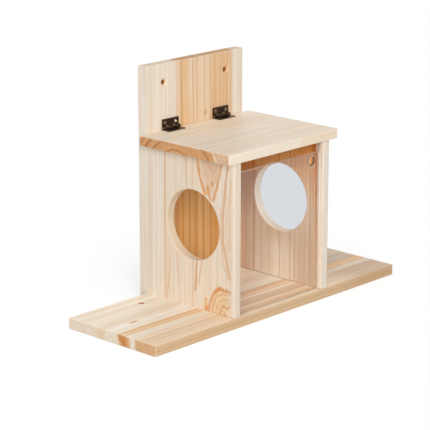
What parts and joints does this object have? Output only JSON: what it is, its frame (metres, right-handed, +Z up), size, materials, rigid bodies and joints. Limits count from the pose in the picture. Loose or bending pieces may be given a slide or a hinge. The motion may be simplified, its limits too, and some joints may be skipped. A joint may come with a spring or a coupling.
{
  "type": "squirrel feeder",
  "caption": "Wooden squirrel feeder box on a long base, with round side doorways, a hinged lid, a clear sliding front window and a tall back board for hanging.",
  "frame": {"origin": "on the ground at the middle of the whole feeder's box", "axes": "+X along the base towards the right wing, +Y towards the back board, +Z up"},
  "size_m": [0.35, 0.13, 0.24],
  "materials": {
    "pine_base": "planed, bare",
    "pine_back": "planed, bare",
    "pine_side": "planed, bare",
    "pine_lid": "planed, bare",
    "clear_sheet": "polished, clear",
    "antique_bronze": "darkened bronze plating",
    "bronze_screw": "darkened bronze plating",
    "zinc_screw": "yellow zinc"
  },
  "bodies": {
    "feeder_frame": {"back_panel": "pine_back", "back_to_base_screws": "zinc_screw", "back_to_left_side_screws": "zinc_screw", "back_to_right_side_screws": "zinc_screw", "base_board": "pine_base", "base_to_left_side_screws": "zinc_screw", "base_to_right_side_screws": "zinc_screw", "left_hinge_pin": "antique_bronze", "left_hinge_wall_leaf": "antique_bronze", "left_hinge_wall_screws": "bronze_screw", "left_side_panel": "pine_side", "right_hinge_pin": "antique_bronze", "right_hinge_wall_leaf": "antique_bronze", "right_hinge_wall_screws": "bronze_screw", "right_side_panel": "pine_side"},
    "lid": {"lid_board": "pine_lid", "left_hinge_lid_leaf": "antique_bronze", "left_hinge_lid_screws": "bronze_screw", "right_hinge_lid_leaf": "antique_bronze", "right_hinge_lid_screws": "bronze_screw"},
    "window": {"front_window": "clear_sheet"}
  },
  "joints": [
    {"name": "lid_hinge", "type": "hinge", "parent": "feeder_frame", "child": "lid", "pos_m": [0, 0.0521, 0.1754], "axis": [-1, 0, 0], "range_deg": [0, 93]},
    {"name": "window_lift", "type": "slide", "parent": "feeder_frame", "child": "window", "axis": [0, 0, 1], "range_m": [0, 0.011]}
  ]
}
